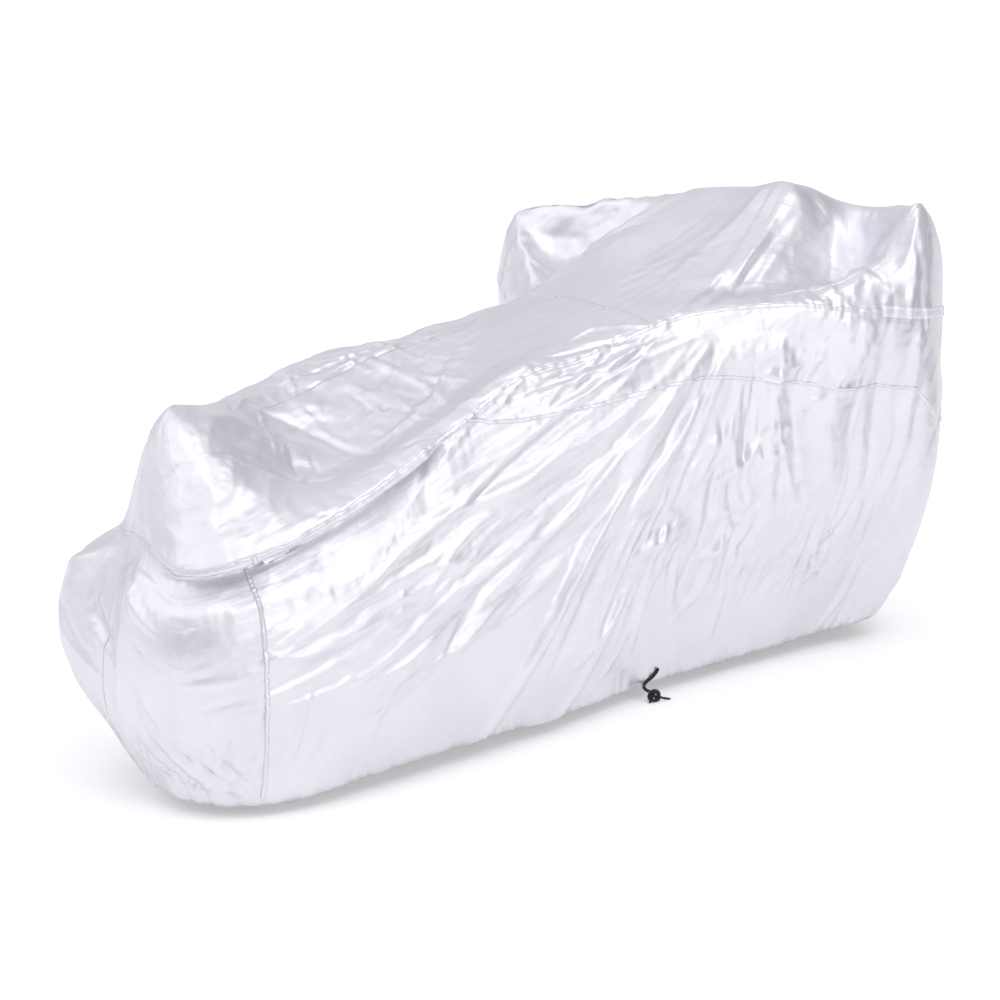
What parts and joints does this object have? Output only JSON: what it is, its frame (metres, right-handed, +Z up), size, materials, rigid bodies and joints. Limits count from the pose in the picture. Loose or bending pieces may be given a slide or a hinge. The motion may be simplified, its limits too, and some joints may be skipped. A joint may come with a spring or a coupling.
{
  "type": "fitted scooter cover",
  "caption": "Fitted outdoor cover as it drapes over a scooter or light motorcycle, with handlebar pockets, a drawn-in hem and a knotted drawcord.",
  "frame": {"origin": "underside of the cover's top over the middle of the saddle, where the covered machine holds it up; the ground is 0.859 m below", "axes": "+X to the front of the covered machine, +Y to its left side, +Z up"},
  "size_m": [2.1903, 0.9557, 1.1217],
  "materials": {
    "silver_cloth": "silver-coated taffeta, satin sheen",
    "seam_tape": "folded silver tape, stitched",
    "black_cord": "braided black elastic cord"
  },
  "bodies": {
    "root": {"screen_panel": "silver_cloth", "saddle_panel": "silver_cloth", "side_panel_near": "silver_cloth", "side_panel_far": "silver_cloth", "upper_side_near": "silver_cloth", "upper_side_far": "silver_cloth", "bar_pocket_near": "silver_cloth", "bar_pocket_far": "silver_cloth", "front_panel": "silver_cloth", "rear_panel": "silver_cloth", "pocket_tape_near": "seam_tape", "pocket_tape_far": "seam_tape", "drawcord_inner": "black_cord", "drawcord_outer": "black_cord", "drawcord_knot": "black_cord"}
  },
  "joints": []
}
